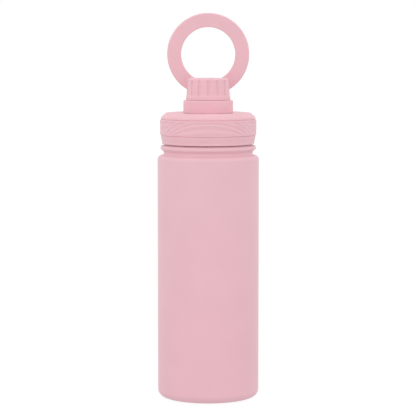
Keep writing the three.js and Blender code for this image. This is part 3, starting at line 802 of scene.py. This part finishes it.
GRID_RIM_R = 26.0
GRID_RIM_WALL = 1.2
GRID_THICKNESS = 1.6
GRID_TOP_Z = PLUG_BOTTOM_Z - 0.4
GRID_EASE = 0.25  # how far the plate's edges are eased


def polygon(centre_x, centre_y, radius, sides):
    angles = [math.radians(360 / sides * k) for k in range(sides)]
    return [(centre_x + radius * math.cos(a), centre_y + radius * math.sin(a)) for a in angles]


def grid_outlines():
    """The plate's outline, and a honeycomb of hexagonal holes inside the rim."""
    hole_r = 4.1
    spacing = 8.6
    outlines = [polygon(0, 0, GRID_HIGH.x, 120)]
    for row in range(-3, 4):
        for column in range(-3, 4):
            x = spacing * math.sqrt(3) / 2 * column
            y = spacing * (row + column / 2)
            if math.hypot(x, y) + hole_r < GRID_RIM_R - GRID_RIM_WALL:
                outlines.append(polygon(x, y, hole_r, 6))
    return outlines


def honeycomb_curve(outlines):
    """A flat filled curve, as thick as the plate and with eased edges."""
    curve = bpy.data.curves.new("honeycomb", "CURVE")
    curve.dimensions = "2D"
    curve.fill_mode = "BOTH"
    curve.extrude = (GRID_THICKNESS / 2 - GRID_EASE) * MM
    curve.bevel_depth = GRID_EASE * MM
    curve.bevel_resolution = 2
    curve.offset = -GRID_EASE * MM
    for outline in outlines:
        spline = curve.splines.new("POLY")
        spline.points.add(len(outline) - 1)
        for point, (x, y) in zip(spline.points, outline):
            point.co = (x * MM, y * MM, 0, 1)
        spline.use_cyclic_u = True
    return new_object("honeycomb_curve", curve)


def weld(mesh):
    """Joins the caps and the sides that a curve leaves apart."""
    welded = bmesh.new()
    welded.from_mesh(mesh)
    bmesh.ops.remove_doubles(welded, verts=welded.verts[:], dist=0.001 * MM)
    bmesh.ops.recalc_face_normals(welded, faces=welded.faces[:])
    welded.to_mesh(mesh)
    welded.free()


def make_mixing_grid():
    """A moulded honeycomb plate with eased edges, and the rim that clips into the plug."""
    middle = GRID_TOP_Z - GRID_THICKNESS / 2
    drawn = honeycomb_curve(grid_outlines())
    depsgraph = bpy.context.evaluated_depsgraph_get()
    plate_mesh = bpy.data.meshes.new_from_object(drawn.evaluated_get(depsgraph))
    bpy.data.objects.remove(drawn)
    plate_mesh.transform(Matrix.Translation((0, 0, middle * MM)))
    weld(plate_mesh)
    plate = new_object("shaker_grid", plate_mesh)
    rim = lathe("grid_rim", fillet([
        (GRID_RIM_R - GRID_RIM_WALL, middle),
        (GRID_RIM_R, middle),
        (GRID_RIM_R, GRID_HIGH.z, 0.4),
        (GRID_RIM_R - GRID_RIM_WALL, GRID_HIGH.z, 0.4),
    ]), segments=128)
    combine(plate, [rim])
    return finish_piece(plate, "grid", PLASTIC, ["mixing_grid"], sharp_deg=30.0)


# ---------- spout cap ----------

FLUTES = 14
FLUTE_HALF_WIDTH = 1.25
FLUTE_DEPTH = 0.85
FLUTE_FLANK = 0.8  # width of a groove's sloping side
CAP_BORE_R = 13.3
CAP_TOP_R = 14.75
CAP_ROOF_Z = CAP_TOP_Z - 1.4
CAP_BAND_HEIGHT = 2.4  # smooth band at the cap's bottom
CAP_BAND_TOP_Z = CAP_BOTTOM_Z + CAP_BAND_HEIGHT
FLUTE_LOW_Z = CAP_BAND_TOP_Z + 0.75
FLUTE_HIGH_Z = CAP_TOP_Z - 0.8
FLUTE_HEEL = 0.5  # height over which a groove gets its full depth at its foot
FLUTE_RUNOUT = 1.4  # and over which it runs out at its top


def cap_flutes(theta, radius, z):
    """Flat-bottomed grooves down the cap's side, which end above the band and run out at the top."""
    off = np.angle(np.exp(1j * (theta + np.pi / 2) * FLUTES)) / FLUTES
    across = np.abs(off) * radius
    ends = smoothstep((z - FLUTE_LOW_Z) / FLUTE_HEEL) * smoothstep((FLUTE_HIGH_Z - z) / FLUTE_RUNOUT)
    groove = smoothstep((FLUTE_HALF_WIDTH - across) / FLUTE_FLANK) * ends
    outside = radius > CAP_BORE_R + 0.01
    return radius - np.where(outside, FLUTE_DEPTH * groove, 0.0)


def make_cap():
    bottom = CAP_BOTTOM_Z + 0.12
    dished_z = CAP_TOP_Z - 0.15
    profile = fillet([
        (0, CAP_ROOF_Z),
        (CAP_BORE_R, CAP_ROOF_Z, 0.6),
        (CAP_BORE_R, bottom, 0.15),
        (CAP_R, bottom, 0.2),
        (CAP_R - 0.05, CAP_BAND_TOP_Z, 0.5),
        (CAP_R - 0.45, CAP_BAND_TOP_Z + 1.6, 2.0),
        (CAP_TOP_R, CAP_TOP_Z, 2.0),
        (10.5, CAP_TOP_Z, 0.6),
        (9.8, dished_z, 0.6),
        (0, dished_z),
    ], closed=False, step_deg=6.0)
    profile = refine(profile, CAP_BAND_TOP_Z - 0.3, CAP_ROOF_Z, step=0.25, min_r=CAP_TOP_R - 0.15)
    cap = lathe("fluted_cap", profile, segments=FLUTES * 42, shape=cap_flutes)
    return finish_piece(cap, "cap", PLASTIC, ["cap_shell"], sharp_deg=50.0)


def make_cap_insert():
    low, high = node_mm("cap_insert")
    bore = 11.8
    roof = high.z - 1.2
    profile = fillet([
        (0, roof),
        (bore, roof, 0.4),
        (bore, low.z, 0.25),
        (high.x, low.z, 0.25),
        (high.x, high.z, 0.4),
        (0, high.z),
    ], closed=False)
    profile = refine(profile, low.z + 0.3, roof - 0.4, SPOUT_THREAD_ROW, max_r=bore + 0.1)
    shape = thread(bore, INWARD, CAP_THREAD_Z, **SPOUT_THREAD)
    insert = lathe("cap_thread", profile, segments=200, shape=shape)
    return finish_piece(insert, "cap", PLASTIC, ["cap_insert"])


def make_cap_seal():
    """The spout's seal, a disc whose outer band stands proud to meet the lip."""
    low, high = node_mm("cap_seal")
    middle_z = low.z + 0.25
    profile = fillet([
        (0, middle_z),
        (8.4, middle_z, 0.2),
        (8.9, low.z, 0.25),
        (high.x - 0.2, low.z, 0.3),
        (high.x, high.z, 0.3),
        (0, high.z),
    ], closed=False)
    seal = lathe("spout_seal", profile, segments=96)
    return finish_piece(seal, "cap_disc", CLEAR_RUBBER, ["cap_seal"])


# ---------- swivel collar and hinge ----------

EAR_INNER_X = 8.2
EAR_OUTER_X = 12.6
EAR_ROOT_Y = 12.0
TONGUE_HALF_WIDTH = 7.0
PIN_R = (PIN_HIGH.z - PIN_LOW.z) / 2
PIN_HOLE_R = PIN_R + 0.3
COLLAR_BORE_R = 16.3
KNURLS = 24
KNURL_DEPTH = 0.07
KNURL_LENGTH = 2.8


def collar_band():
    """The collar's ring, with the bead that turns in the boss's groove and a lip over the boss."""
    bottom = COLLAR_LOW.z
    clip_r = 15.5
    lip_r = 13.2
    lip_low = BOSS_TOP_Z + 0.3
    outer_bottom = bottom - 0.4
    outer_top = COLLAR_TOP_Z + 0.26
    return lathe("collar_band", fillet([
        (COLLAR_BORE_R, outer_bottom, 0.1),
        (COLLAR_R, outer_bottom, 0.05),
        (COLLAR_R, outer_top, 0.9),
        (lip_r, outer_top, 0.3),
        (lip_r, lip_low, 0.1),
        (COLLAR_BORE_R, lip_low, 0.2),
        (COLLAR_BORE_R, bottom + 3.5, 0.1),
        (clip_r, bottom + 3.2, 0.1),
        (clip_r, bottom + 2.0, 0.1),
        (COLLAR_BORE_R, bottom + 2.0, 0.1),
    ]), segments=192)


def hinge_ear(side):
    """One ear's arm and eye, and the bar that cuts its pin hole."""
    low_x, high_x = sorted((side * EAR_INNER_X, side * EAR_OUTER_X))
    low = (low_x, EAR_ROOT_Y, HINGE_Z - KNUCKLE_R)
    high = (high_x, HINGE_Y, HINGE_Z + KNUCKLE_R)
    arm = rounded_block(f"ear_arm_{side}", low, high, radius=0.35)
    clear_r = COLLAR_BORE_R + 0.15
    clear = cutting_cylinder(f"ear_clear_{side}", clear_r, COLLAR_LOW.z - 2, COLLAR_TOP_Z + 2)
    combine(arm, [], [clear])
    eye = hinge_bar(f"ear_eye_{side}", KNUCKLE_R, low_x, high_x, edge=0.4)
    hole = hinge_bar(f"ear_hole_{side}", PIN_HOLE_R, low_x - 1, high_x + 1, edge=0.1, segments=40)
    return arm, eye, hole


def make_collar():
    band = collar_band()
    pieces = []
    holes = []
    for side in (-1, 1):
        arm, eye, hole = hinge_ear(side)
        pieces += [arm, eye]
        holes.append(hole)
    combine(band, pieces, holes)
    band.name = "swivel_band"
    return finish_piece(band, "collar", PLASTIC, ["swivel_collar"], sharp_deg=32.0)


def pin_knurl(theta, radius, z):
    """Fine ridges along the pin's two ends, which grip the ears."""
    near_end = np.abs(z) > PIN_HIGH.x - KNURL_LENGTH
    on_side = radius > PIN_R - 0.05
    depth = KNURL_DEPTH * (0.5 + 0.5 * np.cos(theta * KNURLS))
    return radius - np.where(near_end & on_side, depth, 0.0)


def make_hinge_pin():
    half = PIN_HIGH.x
    waist_r = PIN_R - 0.12
    profile = fillet([
        (0, -half),
        (PIN_R, -half, 0.5),
        (PIN_R, -half + 3.0, 0.1),
        (waist_r, -half + 3.1, 0.05),
        (waist_r, half - 3.1, 0.05),
        (PIN_R, half - 3.0, 0.1),
        (PIN_R, half, 0.5),
        (0, half),
    ], closed=False)
    profile = refine(profile, -half, half, step=0.5, min_r=PIN_R - 0.2)
    rod = lathe("hinge_rod", profile, segments=96, shape=pin_knurl)
    return finish_piece(onto_hinge(rod), "collar", PIN_STEEL, ["hinge_pin"])


def make_washers():
    for name in ("hinge_washer_left", "hinge_washer_right"):
        low, high = node_mm(name)
        outer_r = high.y - HINGE_Y
        profile = fillet([
            (PIN_HOLE_R, low.x, 0.1),
            (outer_r, low.x, 0.15),
            (outer_r, high.x, 0.15),
            (PIN_HOLE_R, high.x, 0.1),
        ])
        washer = lathe(name.replace("hinge_washer", "friction_washer"), profile, segments=64)
        finish_piece(onto_hinge(washer), "collar", NYLON, [name])


# ---------- ring handle ----------

RING_WALL = 1.6
RING_PARTING = RING_DEPTH - 1.9  # depth at which the two halves meet
CHANNEL_IN = RING_HOLE_R + RING_WALL
CHANNEL_OUT = RING_R - RING_WALL
PAD_IN = CHANNEL_IN + 0.4
PAD_OUT = PAD_HIGH.x


def stand_up(obj):
    """Turns a piece made flat about Z, front face at height 0, into the upright ring's place."""
    place = Matrix.Translation((0, RING_FRONT_Y * MM, RING_CENTRE_Z * MM))
    obj.data.transform(place @ Matrix.Rotation(-math.pi / 2, 4, "X"))
    return obj


def make_ring_front():
    """The front half: an open channel for the magnets, with the hinge's tongue and knuckle."""
    edge = RING_PARTING + 0.12
    front = stand_up(lathe("ring_front", fillet([
        (RING_HOLE_R, 0, 0.8),
        (RING_R, 0, 1.2),
        (RING_R, edge, 0.12),
        (CHANNEL_OUT, edge, 0.1),
        (CHANNEL_OUT, RING_WALL, 0.4),
        (CHANNEL_IN, RING_WALL, 0.4),
        (CHANNEL_IN, edge, 0.1),
        (RING_HOLE_R, edge, 0.12),
    ], step_deg=9.0), segments=256))
    half = TONGUE_HALF_WIDTH
    low = (-half, RING_FRONT_Y + RING_WALL, HINGE_Z)
    high = (half, RING_FRONT_Y + RING_PARTING, RING_CENTRE_Z - CHANNEL_OUT - 0.3)
    tongue = rounded_block("tongue", low, high, radius=0.45)
    knuckle = hinge_bar("knuckle", KNUCKLE_R, -half, half, edge=0.35)
    hole = hinge_bar("knuckle_hole", PIN_HOLE_R, -half - 1, half + 1, edge=0.1, segments=40)
    combine(front, [tongue, knuckle], [hole])
    return finish_piece(front, "ring", PLASTIC, ["ring_front_shell"], sharp_deg=32.0)


def make_ring_back():
    """The rear half, with the recess that the soft pad lies in."""
    edge = RING_PARTING + 0.22
    recess_z = RING_DEPTH - 0.9
    recess_in = PAD_IN - 0.2
    recess_out = PAD_OUT + 0.2
    back = stand_up(lathe("ring_back", fillet([
        (RING_HOLE_R, edge, 0.12),
        (RING_R, edge, 0.12),
        (RING_R, RING_DEPTH, 1.1),
        (recess_out, RING_DEPTH, 0.15),
        (recess_out, recess_z, 0.1),
        (recess_in, recess_z, 0.1),
        (recess_in, RING_DEPTH, 0.15),
        (RING_HOLE_R, RING_DEPTH, 1.1),
    ], step_deg=9.0), segments=256))
    return finish_piece(back, "ring", PLASTIC, ["ring_back_cover"])


def make_ring_pad():
    pad_front = PAD_LOW.y - RING_FRONT_Y
    pad_back = PAD_HIGH.y - RING_FRONT_Y
    pad = stand_up(lathe("phone_pad", fillet([
        (PAD_IN, pad_front, 0.1),
        (PAD_OUT, pad_front, 0.1),
        (PAD_OUT, pad_back, 0.35),
        (PAD_IN, pad_back, 0.35),
    ]), segments=256))
    return finish_piece(pad, "ring", PINK_RUBBER, ["ring_grip_pad"])


# ---------- CAD pieces that keep their shape ----------

def dress_kept_nodes():
    kept = {
        "ring_backing_plate": BARE_STEEL,
        "lid_insulation": FOAM,
        "getter": GETTER,
        "vacuum_plug": SEAL_BEAD,
    }
    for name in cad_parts:
        if name.startswith("ring_magnet_"):
            kept[name] = MAGNET
    for name, material in kept.items():
        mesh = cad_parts[name].data
        mesh.materials.clear()
        mesh.materials.append(material)


# ---------- stage ----------

FLOOR_SIZE = 60
FLOOR_GLOW = 0.86
LIGHT_FROM_BELOW = 0.61
LIGHT_FROM_ABOVE = 0.89
LIGHT_IN_FRONT = 1.10
LIGHT_BEHIND = 1.02


def make_floor():
    """A pale floor that glows evenly to its edge and takes shadows, but doesn't light the object."""
    bpy.ops.mesh.primitive_plane_add(size=FLOOR_SIZE, location=(0, 0, 0))
    floor = bpy.context.object
    floor.name = "floor"
    paper = bpy.data.materials.new("pale_floor")
    paper.use_nodes = True
    shader = paper.node_tree.nodes["Principled BSDF"]
    shader.inputs["Base Color"].default_value = (0.15, 0.15, 0.15, 1)
    shader.inputs["Roughness"].default_value = 0.9
    shader.inputs["Emission Color"].default_value = (1.0, 1.0, 1.0, 1)
    shader.inputs["Emission Strength"].default_value = FLOOR_GLOW
    floor.data.materials.append(paper)
    floor.visible_diffuse = False
    floor.visible_glossy = False


def make_world():
    """White to the camera, and to the object an even light that is weaker from below and behind."""
    world = bpy.data.worlds.new("studio")
    bpy.context.scene.world = world
    world.use_nodes = True
    n = Tree(world.node_tree)
    place = n.add("ShaderNodeTexCoord").outputs["Generated"]
    rise = n.remap(n.part_of(place, "Z"), -0.5, -0.02, LIGHT_FROM_BELOW, LIGHT_FROM_ABOVE)
    depth = n.remap(n.part_of(place, "Y"), -1.0, 1.0, LIGHT_IN_FRONT, LIGHT_BEHIND, "LINEAR")
    to_camera = n.add("ShaderNodeLightPath").outputs["Is Camera Ray"]
    background = n.tree.nodes["Background"]
    background.inputs["Color"].default_value = (1.0, 1.0, 1.0, 1)
    strength = n.math("MAXIMUM", n.math("MULTIPLY", rise, depth), to_camera)
    n.link(strength, background.inputs["Strength"])


def soft_sun(name, come_from, strength, angle_deg):
    """A distant softbox, which lights every part of the object alike."""
    light = bpy.data.lights.new(name, "SUN")
    light.energy = strength
    light.angle = math.radians(angle_deg)
    obj = new_object(name, light)
    obj.rotation_euler = (-Vector(come_from)).to_track_quat("-Z", "Y").to_euler()


def make_lights():
    soft_sun("left_softbox", (-0.8, -1.0, 0.25), 0.12, 60)
    soft_sun("front_softbox", (0.1, -1.0, 0.35), 0.13, 45)
    soft_sun("top_softbox", (0.0, -0.1, 1.0), 0.28, 60)


# ---------- camera ----------

CAMERA_PLACE = (-0.00015, -1.350, 0.263)
CAMERA_DOWN_DEG = 5.33
CAMERA_LENS = 162.7
GAMMA = 1.25


def make_camera():
    data = bpy.data.cameras.new("camera")
    data.sensor_width = 36.0
    data.lens = CAMERA_LENS
    data.clip_start = 0.05
    camera = new_object("camera", data)
    camera.location = CAMERA_PLACE
    camera.rotation_euler = (math.radians(90 - CAMERA_DOWN_DEG), 0, 0)
    bpy.context.scene.camera = camera
    bpy.context.scene.view_settings.view_transform = "Standard"
    bpy.context.scene.view_settings.gamma = GAMMA


make_camera()
make_outer_shell()
make_inner_liner()
make_base_plate()
make_base_pad()
make_lid_cover()
make_lid_core()
make_gasket()
make_mixing_grid()
make_cap()
make_cap_insert()
make_cap_seal()
make_collar()
make_hinge_pin()
make_washers()
make_ring_front()
make_ring_back()
make_ring_pad()
dress_kept_nodes()
make_floor()
make_world()
make_lights()
